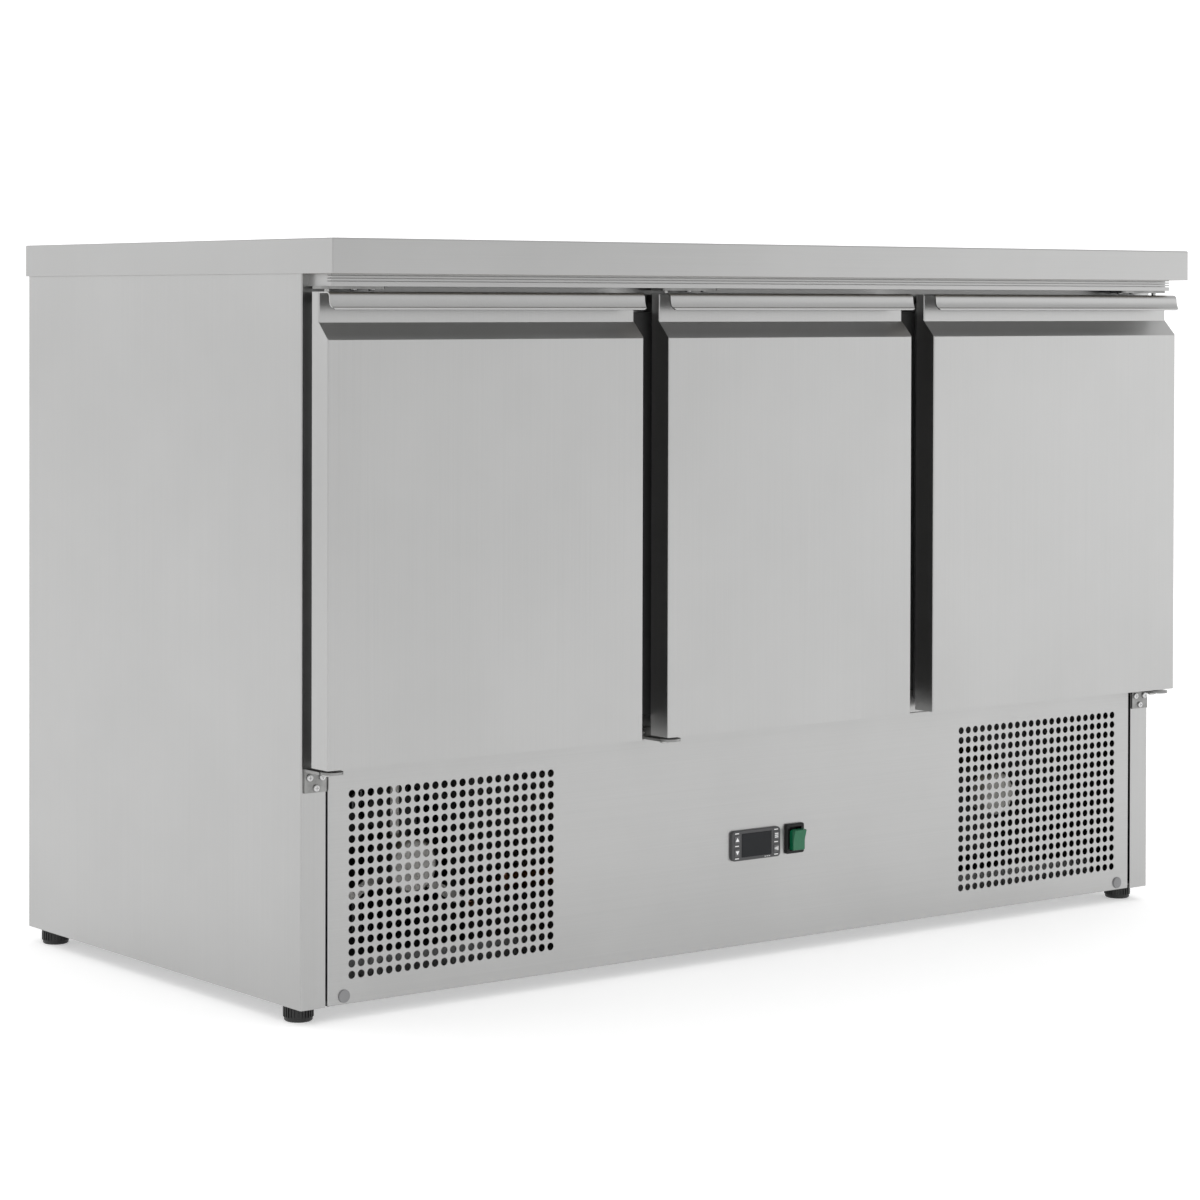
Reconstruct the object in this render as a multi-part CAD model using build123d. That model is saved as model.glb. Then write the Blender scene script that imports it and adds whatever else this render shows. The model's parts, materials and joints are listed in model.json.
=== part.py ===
from build123d import *
import os

# Three-door counter refrigerator. Millimetres, +Z up, the doors face -Y.
# The origin lies on the floor, under the middle of the worktop.

# ---- overall size ----
WIDTH = 1365.0
DEPTH = 700.0
HEIGHT = 875.0
WORKTOP_THICK = 39.0
WORKTOP_SHEET = 1.2
SHEET = 1.0

# ---- cabinet body ----
BODY_HALF = 679.5
BODY_FRONT = -283.0
BODY_BACK = 347.0
BODY_BOTTOM = 18.0
BODY_TOP = HEIGHT - WORKTOP_THICK
POST_WIDTH = 32.5
PANEL_HEM = 17.5
BOTTOM_HEM = 11.5
BACK_PANEL_Y = BODY_BACK - 2 * SHEET

# ---- machine bay and insulated box ----
BAY_TOP = 284.0
FRAME_BACK = -262.0
SILL_TOP = 312.0
OPENING_TOP = 793.0
CAVITY_HALF = 645.0
CAVITY_BACK = 300.0
CAVITY_TOP = 797.0
MULLION_IN = 168.0
MULLION_OUT = 264.0
MULLION_BACK = -245.0

# ---- doors ----
DOOR_BOTTOM = 290.0
DOOR_TOP = 816.0
DOOR_FRONT = -332.5
DOOR_BACK = -300.5
RECESS_FRONT = -314.0
SLOPE_BOTTOM = 762.8
SLOPE_TOP = 782.0
MIDDLE_HALF = 196.0
OUTER_IN = 234.0
OUTER_OUT = 677.0
PIVOT_INSET = 15.0
PIVOT_Y = (RECESS_FRONT + DOOR_BACK) / 2
FOLD_RADIUS = 1.8
GASKET_INSET = 11.5
GASKET_WIDTH = 16.0
GASKET_BACK = -283.6
PAN_INSET = 31.0
PAN_BACK = -289.0
LIP_SHEET = 1.6
LIP_BEND = 5.0
LIP_BOTTOM = 797.6
LIP_FRONT = -338.4
LIP_CORNER = 8.0

# ---- hinges ----
PIN_RADIUS = 3.0
RUNNING_GAP = 0.05
BUSH_RADIUS = 5.0
BUSH_LENGTH = 15.0
ARM_THICK = 3.0
BOTTOM_ARM_Z = 284.0
TOP_ARM_Z = 819.0
SCREW_RADIUS = 2.1
SCREW_HOLE = 2.2
SCREW_HEAD = 4.0
SCREW_LENGTH = 6.0
TOP_SCREW_Y = -304.0
ARM_HALF_WIDTH = 14.5
BRACKET_BOTTOM = 260.0
OUTER_BRACKET_SCREWS = [(670.0, 277.0), (653.5, 277.0), (661.5, 265.0)]
MIDDLE_BRACKET_TOP = 297.0
MIDDLE_PIVOT = -MIDDLE_HALF + PIVOT_INSET
MIDDLE_BRACKET_SCREWS = [(MIDDLE_PIVOT - 18, 291.5), (MIDDLE_PIVOT + 18, 291.5)]

# ---- trim under the worktop ----
TRIM_HALF = 670.0
TRIM_FRONT = -327.5
TRIM_BOTTOM = 822.0
TRIM_WALL = 1.2

# ---- lower fascia ----
FASCIA_HALF = 643.5
FASCIA_BOTTOM = 18.5
FASCIA_RETURN = 14.0
HOLE_PITCH = 12.7
HOLE_RADIUS = 4.55
HOLE_COLUMNS = 23
HOLE_ROWS = 17
GRILLE_X = 471.8
GRILLE_Z = 152.3
PLUG_X = 622.0
PLUG_Z = 28.0
PLUG_HOLE = 5.0

# ---- controls ----
CONTROL_X = -18.0
CONTROL_Z = 141.5
BEZEL_SIZE = (78.0, 37.0)
BEZEL_DEPTH = 4.0
CONTROL_CUTOUT = (71.0, 29.0)
CONTROL_CASE_DEPTH = 58.0
CUTOUT_GAP = 0.6
DISPLAY_SIZE = (48.0, 29.0)
KEY_SIZE = (7.0, 9.0)
KEY_COLUMN = 31.5
KEY_ROW = 8.0
KEY_GAP = 0.2
SWITCH_X = 45.5
SWITCH_Z = 142.5
SWITCH_SIZE = (29.0, 37.0)
SWITCH_DEPTH = 4.0
SWITCH_CUTOUT = (25.0, 34.0)
ROCKER_WIDTH = 18.4
ROCKER_TILT = 8.0
ROCKER_PIVOT_Y = -286.0

# ---- feet ----
FOOT_X = 660.0
FOOT_FRONT_Y = -248.0
FOOT_BACK_Y = 312.0
FOOT_RADIUS = 16.2
FOOT_RIBS = 28
STUD_RADIUS = 5.0
STUD_TOP = 40.0
TRAY_FLOOR = 19.0
TRAY_SHEET = 1.5
TRAY_TOP = TRAY_FLOOR + TRAY_SHEET

# ---- shelves ----
SHELF_X = 454.5
SHELF_SIZE = (325.0, 530.0)
SHELF_Z = 540.0
SHELF_FRONT = -246.0
SHELF_RIM = 6.0
RAIL_X = 171.0
RAIL_SHEET = 2.0
RAIL_LEG = 20.0
RAIL_Y = (-236.0, 284.0)
PILASTER_DEPTH = 12.0
PILASTER_WIDTH = 15.0
UPRIGHT_Y = (-228.0, 190.0)

# ---- cooling unit ----
FAN_X = -480.0
FAN_Z = 150.0
COIL_HALF = 120.0
COIL_HEIGHT = 220.0
COIL_Y = (-120.0, -65.0)
SHROUD_FRONT = -150.0
FAN_RADIUS = 86.0
COMPRESSOR_X = 470.0
COMPRESSOR_Y = -110.0
COMPRESSOR_RADIUS = 78.0
EVAPORATOR_Z = (610.0, 790.0)
EVAPORATOR_HALF = 230.0
EVAPORATOR_FRONT = 215.0
EVAPORATOR_FAN_Z = 700.0
COVER_WALL = 1.5
EVAPORATOR_FAN_RADIUS = 56.0
PIPE_X = 205.0
DRAIN_X = -200.0
SERVICE_Y = 285.0
SERVICE_HOLE = 12.0
DRAIN_RADIUS = 8.0

# ---- mains lead entry ----
GLAND_X = 560.0
GLAND_Z = 110.0
GLAND_RADIUS = 9.0
GLAND_HEAD = 13.0
GLAND_BORE = 4.2


def block(xs, ys, zs):
    """Box between low and high limits on each axis."""
    centre = Pos(sum(xs) / 2, sum(ys) / 2, sum(zs) / 2)
    return centre * Box(xs[1] - xs[0], ys[1] - ys[0], zs[1] - zs[0])


def rod_z(x, y, zs, radius):
    return Pos(x, y, sum(zs) / 2) * Cylinder(radius, zs[1] - zs[0])


def rod_y(x, z, ys, radius):
    return Pos(x, sum(ys) / 2, z) * Rot(90, 0, 0) * Cylinder(radius, ys[1] - ys[0])


def span_x(face, xs):
    """Extrude a face drawn on Plane.YZ from the low to the high X."""
    return Pos(xs[0], 0, 0) * extrude(face, amount=xs[1] - xs[0], dir=(1, 0, 0))


def outline_yz(points):
    return make_face(Plane.YZ * Polyline(*points, close=True))


def flip(shape):
    """Mirror image on the other side of the cabinet."""
    return mirror(shape, about=Plane.YZ)


def grow(limits, amount):
    return (limits[0] - amount, limits[1] + amount)


def pipe(points, radii, radius):
    """Round bar along straight runs with rounded corners."""
    path = FilletPolyline(*points, radius=radii)
    section = Plane(origin=path @ 0, z_dir=path % 0) * Circle(radius)
    return sweep(section, path=path)


# ---------------------------------------------------------------- worktop
def worktop_skin():
    outer = block((-WIDTH / 2, WIDTH / 2), (-DEPTH / 2, DEPTH / 2), (BODY_TOP, HEIGHT))
    outer = fillet(outer.edges().filter_by(Axis.Z), FOLD_RADIUS)
    outer = fillet(outer.edges().group_by(Axis.Z)[-1], FOLD_RADIUS)
    return outer - worktop_inside(BODY_TOP - 1)


def worktop_inside(bottom):
    half_x = WIDTH / 2 - WORKTOP_SHEET
    half_y = DEPTH / 2 - WORKTOP_SHEET
    return block((-half_x, half_x), (-half_y, half_y), (bottom, HEIGHT - WORKTOP_SHEET))


def worktop_core():
    return worktop_inside(BODY_TOP)


def top_trim():
    """Folded channel with three fine horizontal grooves in its front."""
    trim = block((-TRIM_HALF, TRIM_HALF), (TRIM_FRONT, BODY_FRONT), (TRIM_BOTTOM, BODY_TOP))
    inner_half = TRIM_HALF - TRIM_WALL
    trim -= block(
        (-inner_half, inner_half),
        (TRIM_FRONT + 2 * TRIM_WALL, BODY_FRONT + 1),
        (TRIM_BOTTOM + TRIM_WALL, BODY_TOP - TRIM_WALL),
    )
    groove_depth = 1.4
    groove_height = 1.2
    for below_top in (1.4, 4.6, 7.8):
        low = BODY_TOP - below_top - groove_height
        trim -= block(
            (-TRIM_HALF - 1, TRIM_HALF + 1),
            (TRIM_FRONT - 1, TRIM_FRONT + groove_depth),
            (low, low + groove_height),
        )
    for pivot_x, side in hinge_places():
        for screw_x in top_screw_places(pivot_x, side):
            trim -= rod_z(screw_x, TOP_SCREW_Y, (TRIM_BOTTOM - 1, TRIM_BOTTOM + 2), SCREW_HOLE)
    return trim


# ---------------------------------------------------------------- cabinet body
def side_panel_left():
    outer = (-BODY_HALF, -BODY_HALF + SHEET)
    panel = block(outer, (BODY_FRONT, BODY_BACK), (BODY_BOTTOM, BODY_TOP))
    post = (-BODY_HALF, -BODY_HALF + POST_WIDTH)
    panel += block(post, (BODY_FRONT, BODY_FRONT + SHEET), (BODY_BOTTOM, BODY_TOP))
    hem = (-BODY_HALF, -BODY_HALF + PANEL_HEM)
    panel += block(hem, (BODY_BACK - SHEET, BODY_BACK), (BODY_BOTTOM, BODY_TOP))
    foot_hem = (-BODY_HALF, -BODY_HALF + BOTTOM_HEM)
    panel += block(foot_hem, (BODY_FRONT, BODY_BACK), (BODY_BOTTOM, BODY_BOTTOM + SHEET))
    corner = panel.edges().filter_by(Axis.Z).group_by(Axis.X)[0]
    panel = fillet(corner, FOLD_RADIUS)
    for x, z in OUTER_BRACKET_SCREWS:
        panel -= rod_y(-x, z, (BODY_FRONT - 1, BODY_FRONT + 2), SCREW_HOLE)
    return panel


def vent_slots(centre_x):
    slot_rows = 12
    slot_pitch = 15.0
    slot_height = 5.0
    half_length = 120.0
    first_z = 70.0
    xs = (centre_x - half_length, centre_x + half_length)
    ys = (BACK_PANEL_Y - 1, BACK_PANEL_Y + 2)
    lows = [first_z + row * slot_pitch for row in range(slot_rows)]
    return [block(xs, ys, (low, low + slot_height)) for low in lows]


def back_panel():
    half = BODY_HALF - SHEET - 0.1
    panel = block((-half, half), (BACK_PANEL_Y, BACK_PANEL_Y + SHEET), (TRAY_FLOOR, BODY_TOP))
    for slot in vent_slots(-380.0) + vent_slots(380.0):
        panel -= slot
    return panel - rod_y(GLAND_X, GLAND_Z, (BACK_PANEL_Y - 1, BACK_PANEL_Y + 2), GLAND_RADIUS + 0.2)


def foot_places():
    return [(x, y) for y in (FOOT_FRONT_Y, FOOT_BACK_Y) for x in (-FOOT_X, FOOT_X)]


def base_tray():
    """Bottom sheet of the machine bay, with welded nuts for the feet."""
    half = BODY_HALF - SHEET - 0.1
    behind_fascia = BODY_FRONT + SHEET + FASCIA_RETURN + 1.5
    tray = block((-half, half), (behind_fascia, BACK_PANEL_Y - 0.1), (TRAY_FLOOR, TRAY_TOP))
    lip_y = -240.0
    lip_half = half - 60.0
    lip_top = 62.0
    tray += block((-lip_half, lip_half), (lip_y, lip_y + TRAY_SHEET), (TRAY_TOP, lip_top))
    nut_radius = 9.0
    nut_top = 32.0
    for x, y in foot_places():
        tray += rod_z(x, y, (TRAY_TOP, nut_top), nut_radius)
    for x, y in foot_places():
        tray -= rod_z(x, y, (TRAY_FLOOR - 1, nut_top + 1), STUD_RADIUS + RUNNING_GAP)
    return tray


def front_frame():
    """Ring that the doors close on, behind the posts of the side panels."""
    half = BODY_HALF - SHEET - 0.1
    behind_post = BODY_FRONT + SHEET
    rail_half = BODY_HALF - POST_WIDTH - 0.1
    frame = block((-half, half), (behind_post, FRAME_BACK), (BAY_TOP, BODY_TOP))
    frame += block((-rail_half, rail_half), (BODY_FRONT, behind_post), (BAY_TOP, BODY_TOP))
    frame -= block(
        (-CAVITY_HALF, CAVITY_HALF), (BODY_FRONT - 1, FRAME_BACK + 1), (SILL_TOP, OPENING_TOP)
    )
    for x, z in MIDDLE_BRACKET_SCREWS:
        frame -= rod_y(x, z, (BODY_FRONT - 1, BODY_FRONT + 7), SCREW_HOLE)
    return frame


def mullions():
    post = block((MULLION_IN, MULLION_OUT), (BODY_FRONT, MULLION_BACK), (SILL_TOP, OPENING_TOP))
    front_edges = post.edges().filter_by(Axis.Z).group_by(Axis.Y)[0]
    post = fillet(front_edges, 2.0)
    return [post, flip(post)]


def service_holes(zs):
    """Holes for the refrigerant lines and for the drain tube."""
    drain_hole = rod_z(DRAIN_X, SERVICE_Y, zs, DRAIN_RADIUS + 0.2)
    return rod_z(PIPE_X, SERVICE_Y, zs, SERVICE_HOLE) + drain_hole


def liner_block(wall, front):
    """The cold space, grown by a wall on every side but the open front."""
    half = CAVITY_HALF + wall
    return block((-half, half), (front, CAVITY_BACK + wall), (SILL_TOP - wall, CAVITY_TOP + wall))


def inner_liner():
    hollow = liner_block(0, FRAME_BACK - 1)
    return liner_block(SHEET, FRAME_BACK) - hollow - service_holes((SILL_TOP - 3, SILL_TOP + 3))


def insulation():
    half = BODY_HALF - SHEET - 0.1
    foam = block((-half, half), (FRAME_BACK, BACK_PANEL_Y - 0.1), (BAY_TOP, BODY_TOP))
    foam -= liner_block(SHEET, FRAME_BACK - 1)
    return foam - service_holes((BAY_TOP - 1, SILL_TOP))


# ---------------------------------------------------------------- lower fascia
def rectangle_wire(centre, size):
    return Plane.XZ * Pos(centre[0], centre[1]) * Wire.make_rect(size[0], size[1])


def circle_wire(x, z, radius):
    return Plane.XZ * Pos(x, z) * Wire.make_circle(radius)


def grille_holes(centre_x):
    holes = []
    for column in range(HOLE_COLUMNS):
        x = centre_x + (column - (HOLE_COLUMNS - 1) / 2) * HOLE_PITCH
        for row in range(HOLE_ROWS):
            z = GRILLE_Z + (row - (HOLE_ROWS - 1) / 2) * HOLE_PITCH
            holes.append(circle_wire(x, z, HOLE_RADIUS))
    return holes


def fascia():
    """Folded front cover of the machine bay with two perforated grilles."""
    middle_z = (FASCIA_BOTTOM + BAY_TOP) / 2
    border = rectangle_wire((0, middle_z), (2 * FASCIA_HALF, BAY_TOP - FASCIA_BOTTOM))
    openings = grille_holes(-GRILLE_X) + grille_holes(GRILLE_X)
    openings.append(rectangle_wire((CONTROL_X, CONTROL_Z), CONTROL_CUTOUT))
    openings.append(rectangle_wire((SWITCH_X, SWITCH_Z), SWITCH_CUTOUT))
    openings += [circle_wire(x, PLUG_Z, PLUG_HOLE) for x in (-PLUG_X, PLUG_X)]
    sheet_face = Pos(0, BODY_FRONT, 0) * Face(border, openings)
    cover = extrude(sheet_face, amount=SHEET, dir=(0, 1, 0))
    back = BODY_FRONT + SHEET
    rim_ys = (back, back + FASCIA_RETURN)
    rim = block((-FASCIA_HALF, FASCIA_HALF), rim_ys, (FASCIA_BOTTOM, BAY_TOP))
    rim -= block(
        (-FASCIA_HALF + SHEET, FASCIA_HALF - SHEET),
        (rim_ys[0] - 1, rim_ys[1] + 1),
        (FASCIA_BOTTOM + SHEET, BAY_TOP - SHEET),
    )
    return cover + rim


def fascia_plugs():
    head_radius = 7.5
    head_height = 2.0
    stem_length = 7.0
    plugs = []
    for x in (-PLUG_X, PLUG_X):
        head = rod_y(x, PLUG_Z, (BODY_FRONT - head_height, BODY_FRONT), head_radius)
        head = fillet(head.edges().group_by(Axis.Y)[0], 1.2)
        plugs.append(head + rod_y(x, PLUG_Z, (BODY_FRONT, BODY_FRONT + stem_length), PLUG_HOLE - 0.1))
    return plugs


# ---------------------------------------------------------------- hinges
def hinge_places():
    """Pivot X of each door and the side of the door that it is on."""
    return [
        (-OUTER_OUT + PIVOT_INSET, -1),
        (-MIDDLE_HALF + PIVOT_INSET, -1),
        (OUTER_OUT - PIVOT_INSET, 1),
    ]


def top_screw_places(pivot_x, side):
    """X of the two screws that hold a top bracket, inward from its pivot."""
    return [pivot_x - side * offset for offset in (38.0, 62.0)]


def bottom_arm(pivot_x):
    """Rounded plate under the door's corner, with the pivot hole."""
    nose_radius = 13.5
    nose_y = -317.0
    zs = (BOTTOM_ARM_Z, BOTTOM_ARM_Z + ARM_THICK)
    arm = block((pivot_x - ARM_HALF_WIDTH, pivot_x + ARM_HALF_WIDTH), (nose_y + 2, BODY_FRONT), zs)
    arm += block((pivot_x - nose_radius, pivot_x + nose_radius), (nose_y, nose_y + 3), zs)
    arm += rod_z(pivot_x, nose_y, zs, nose_radius)
    return arm - rod_z(pivot_x, PIVOT_Y, grow(zs, 1), PIN_RADIUS + RUNNING_GAP)


def outer_bottom_bracket(side):
    pivot_x = side * (OUTER_OUT - PIVOT_INSET)
    xs = (pivot_x - ARM_HALF_WIDTH, pivot_x + ARM_HALF_WIDTH)
    bracket = bottom_arm(pivot_x)
    bracket += block(xs, (BODY_FRONT - ARM_THICK, BODY_FRONT), (BRACKET_BOTTOM, BOTTOM_ARM_Z))
    for x, z in OUTER_BRACKET_SCREWS:
        bracket -= rod_y(side * x, z, (BODY_FRONT - ARM_THICK - 1, BODY_FRONT + 1), SCREW_HOLE)
    return bracket


def middle_bottom_bracket():
    bracket = bottom_arm(MIDDLE_PIVOT)
    half_width = 25.0
    xs = (MIDDLE_PIVOT - half_width, MIDDLE_PIVOT + half_width)
    bracket += block(xs, (BODY_FRONT - ARM_THICK, BODY_FRONT), (BOTTOM_ARM_Z, MIDDLE_BRACKET_TOP))
    for x, z in MIDDLE_BRACKET_SCREWS:
        bracket -= rod_y(x, z, (BODY_FRONT - ARM_THICK - 1, BODY_FRONT + 1), SCREW_HOLE)
    return bracket


def hinge_brackets_bottom():
    return [outer_bottom_bracket(-1), middle_bottom_bracket(), outer_bottom_bracket(1)]


def top_bracket(pivot_x, side):
    """Flat plate under the trim, longer on the side towards the door's middle."""
    outward = 12.0
    inward = 72.0
    corner_radius = 6.0
    xs = sorted((pivot_x + side * outward, pivot_x - side * inward))
    ys = (-320.0, -292.0)
    zs = (TOP_ARM_Z, TOP_ARM_Z + ARM_THICK)
    plate = block(xs, ys, zs)
    plate = fillet(plate.edges().filter_by(Axis.Z), corner_radius)
    plate -= rod_z(pivot_x, PIVOT_Y, grow(zs, 1), PIN_RADIUS + RUNNING_GAP)
    for screw_x in top_screw_places(pivot_x, side):
        plate -= rod_z(screw_x, TOP_SCREW_Y, grow(zs, 1), SCREW_HOLE)
    return plate


def hinge_brackets_top():
    return [top_bracket(pivot_x, side) for pivot_x, side in hinge_places()]


def hinge_pins():
    """Headed pivot pins below the doors and plain ones above them."""
    pins = []
    head_height = 3.5
    head_radius = 5.5
    reach = 11.0
    for pivot_x, _ in hinge_places():
        head = rod_z(pivot_x, PIVOT_Y, (BOTTOM_ARM_Z - head_height, BOTTOM_ARM_Z), head_radius)
        head = fillet(head.edges().group_by(Axis.Z)[0], 1.5)
        shank = rod_z(pivot_x, PIVOT_Y, (BOTTOM_ARM_Z, DOOR_BOTTOM + reach), PIN_RADIUS)
        pins.append(head + shank)
        pins.append(rod_z(pivot_x, PIVOT_Y, (DOOR_TOP - reach, TRIM_BOTTOM), PIN_RADIUS))
    return pins


def screw_y(x, z):
    """Pan-head screw driven in along +Y through a bracket plate."""
    seat = BODY_FRONT - ARM_THICK
    head_top = seat - 2.2
    head = rod_y(x, z, (head_top, seat), SCREW_HEAD)
    head = fillet(head.edges().group_by(Axis.Y)[0], 1.0)
    screw = head + rod_y(x, z, (seat, BODY_FRONT + SCREW_LENGTH), SCREW_RADIUS)
    return screw - cross_slot(Pos(x, head_top, z) * Rot(90, 0, 0))


def screw_up(x, y):
    """Pan-head screw driven up into the trim."""
    head = rod_z(x, y, (TOP_ARM_Z - 1.8, TOP_ARM_Z), SCREW_HEAD)
    head = fillet(head.edges().group_by(Axis.Z)[0], 0.8)
    return head + rod_z(x, y, (TOP_ARM_Z, TRIM_BOTTOM + SCREW_LENGTH), SCREW_RADIUS)


def cross_slot(place):
    long_side = 4.4
    short_side = 0.9
    depth = 2.0
    return place * (Box(long_side, short_side, depth) + Box(short_side, long_side, depth))


def bracket_screws():
    screws = []
    for x, z in OUTER_BRACKET_SCREWS:
        screws.append(screw_y(-x, z))
        screws.append(screw_y(x, z))
    screws += [screw_y(x, z) for x, z in MIDDLE_BRACKET_SCREWS]
    for pivot_x, side in hinge_places():
        screws += [screw_up(x, TOP_SCREW_Y) for x in top_screw_places(pivot_x, side)]
    return screws


# ---------------------------------------------------------------- doors
def door_outline(margin):
    """Side view of a door, shrunk by a margin on every face but the open back."""
    slope_shift = margin * 0.35
    return outline_yz([
        (DOOR_BACK, DOOR_BOTTOM + margin),
        (DOOR_FRONT + margin, DOOR_BOTTOM + margin),
        (DOOR_FRONT + margin, SLOPE_BOTTOM - slope_shift),
        (RECESS_FRONT + margin, SLOPE_TOP - slope_shift),
        (RECESS_FRONT + margin, DOOR_TOP - margin),
        (DOOR_BACK, DOOR_TOP - margin),
    ])


def handle_lip(xs):
    """Sheet that runs forward from the door's top, rounds over and ends in a hem."""
    top = DOOR_TOP - LIP_SHEET / 2
    bend_start = LIP_FRONT + 4.2 + LIP_BEND
    knee = top - LIP_BEND
    run = Line((RECESS_FRONT + 0.5, top), (bend_start, top))
    bend = CenterArc((bend_start, knee), LIP_BEND, 90, 90)
    drop_ends = [(bend_start - LIP_BEND, knee), (LIP_FRONT, LIP_BOTTOM)]
    drop = Spline(*drop_ends, tangents=[(0, -1), (-0.9, -1)])
    strip = trace(run + bend + drop, line_width=LIP_SHEET)
    hem_radius = 1.7
    section = strip + Pos(LIP_FRONT, LIP_BOTTOM) * Circle(hem_radius)
    lip = span_x(Plane.YZ * section, grow(xs, -0.5))
    mask_zs = (LIP_BOTTOM - hem_radius - 0.2, DOOR_TOP + 1)
    mask = block(xs, (LIP_FRONT - 5, RECESS_FRONT + 2), mask_zs)
    mask = fillet(mask.edges().filter_by(Axis.Y).group_by(Axis.Z)[0], LIP_CORNER)
    return lip & mask


def bush_hollows(pivot_x):
    """Pockets for the bushes in a door's bottom and top edges."""
    bottom = rod_z(pivot_x, PIVOT_Y, (DOOR_BOTTOM - 1, DOOR_BOTTOM + BUSH_LENGTH), BUSH_RADIUS)
    top = rod_z(pivot_x, PIVOT_Y, (DOOR_TOP - BUSH_LENGTH, DOOR_TOP + 1), BUSH_RADIUS)
    return bottom + top


def door_skin(xs, pivot_x):
    shell = span_x(door_outline(0), xs)
    upright_edges = shell.edges().filter_by(Axis.Z)
    front_edges = upright_edges.filter_by(lambda edge: edge.center().Y < DOOR_BACK - 5)
    shell = fillet(front_edges, FOLD_RADIUS)
    shell -= span_x(door_outline(SHEET), grow(xs, -SHEET))
    return shell + handle_lip(xs) - bush_hollows(pivot_x)


def door_block(xs, inset, ys):
    """Slab as large as a door, less an inset all round."""
    return block(grow(xs, -inset), ys, (DOOR_BOTTOM + inset, DOOR_TOP - inset))


def pan_block(xs, inset, back):
    return door_block(xs, inset, (DOOR_BACK - SHEET, back))


def door_inner_panel(xs):
    """Flat inner sheet with a raised pan inside the seal."""
    plate = door_block(xs, SHEET, (DOOR_BACK - SHEET, DOOR_BACK))
    pan = pan_block(xs, PAN_INSET, PAN_BACK)
    pan = fillet(pan.edges().group_by(Axis.Y)[-1], 3)
    return plate + pan - pan_block(xs, PAN_INSET + SHEET, PAN_BACK - SHEET)


def door_foam(xs, pivot_x):
    foam = span_x(door_outline(SHEET), grow(xs, -SHEET))
    foam -= door_block(xs, -1, (DOOR_BACK - SHEET, DOOR_BACK + 1))
    foam += pan_block(xs, PAN_INSET + SHEET, PAN_BACK - SHEET)
    return foam - bush_hollows(pivot_x)


def door_gasket(xs):
    """Soft seal, a plain closed ring on the back of the door."""
    ys = (DOOR_BACK, GASKET_BACK)
    ring = door_block(xs, GASKET_INSET, ys)
    return ring - door_block(xs, GASKET_INSET + GASKET_WIDTH, grow(ys, 1))


def door_bushes(pivot_x):
    """Flanged bush in the door's bottom edge and a plain one in its top edge."""
    flange_height = 1.8
    flange_radius = 8.0
    bore_radius = PIN_RADIUS + RUNNING_GAP
    bore_depth = 12.5
    flange = rod_z(pivot_x, PIVOT_Y, (DOOR_BOTTOM - flange_height, DOOR_BOTTOM), flange_radius)
    bottom = flange + rod_z(pivot_x, PIVOT_Y, (DOOR_BOTTOM, DOOR_BOTTOM + BUSH_LENGTH), BUSH_RADIUS)
    bottom -= rod_z(pivot_x, PIVOT_Y, (DOOR_BOTTOM - 3, DOOR_BOTTOM + bore_depth), bore_radius)
    top = rod_z(pivot_x, PIVOT_Y, (DOOR_TOP - BUSH_LENGTH, DOOR_TOP), BUSH_RADIUS)
    top -= rod_z(pivot_x, PIVOT_Y, (DOOR_TOP - bore_depth, DOOR_TOP + 1), bore_radius)
    return [bottom, top]


# ---------------------------------------------------------------- controls
def key_places():
    return [(CONTROL_X + sx * KEY_COLUMN, CONTROL_Z + sz * KEY_ROW) for sx in (-1, 1) for sz in (1, -1)]


def centred(centre, size, ys):
    """Box about a point of the front, with its width and height."""
    x, z = centre
    half_x = size[0] / 2
    half_z = size[1] / 2
    return block((x - half_x, x + half_x), ys, (z - half_z, z + half_z))


def key_block(place, gap, ys):
    return centred(place, (KEY_SIZE[0] + 2 * gap, KEY_SIZE[1] + 2 * gap), ys)


def controller_case():
    centre = (CONTROL_X, CONTROL_Z)
    front = BODY_FRONT - BEZEL_DEPTH
    bezel = centred(centre, BEZEL_SIZE, (front, BODY_FRONT))
    bezel = fillet(bezel.edges().filter_by(Axis.Y), 5)
    bezel = fillet(bezel.edges().group_by(Axis.Y)[0], 1.2)
    body_size = (CONTROL_CUTOUT[0] - CUTOUT_GAP, CONTROL_CUTOUT[1] - CUTOUT_GAP)
    case = bezel + centred(centre, body_size, (BODY_FRONT, BODY_FRONT + CONTROL_CASE_DEPTH))
    case -= centred(centre, DISPLAY_SIZE, (front - 1, front + 1))
    key_pocket_depth = 2.8
    for place in key_places():
        case -= key_block(place, KEY_GAP, (front - 1, front + key_pocket_depth))
    return case


def controller_display():
    front = BODY_FRONT - BEZEL_DEPTH
    size = (DISPLAY_SIZE[0] - 0.2, DISPLAY_SIZE[1] - 0.2)
    lens = centred((CONTROL_X, CONTROL_Z), size, (front - 0.5, front + 1))
    return fillet(lens.edges().group_by(Axis.Y)[0], 0.4)


def controller_key(place):
    front = BODY_FRONT - BEZEL_DEPTH
    key = key_block(place, 0, (front - 0.9, front + 1.4))
    return fillet(key.edges().group_by(Axis.Y)[0], 0.6)


def switch_housing():
    centre = (SWITCH_X, SWITCH_Z)
    front = BODY_FRONT - SWITCH_DEPTH
    bezel = centred(centre, SWITCH_SIZE, (front, BODY_FRONT))
    bezel = fillet(bezel.edges().filter_by(Axis.Y), 2.5)
    bezel = fillet(bezel.edges().group_by(Axis.Y)[0], 1.5)
    body_size = (SWITCH_CUTOUT[0] - CUTOUT_GAP, SWITCH_CUTOUT[1] - CUTOUT_GAP)
    case_depth = 25.0
    pocket_depth = 3.0
    housing = bezel + centred(centre, body_size, (BODY_FRONT, BODY_FRONT + case_depth))
    pocket_size = (ROCKER_WIDTH + 0.8, 29.2)
    return housing - centred(centre, pocket_size, (front - 1, BODY_FRONT + pocket_depth))


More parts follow.
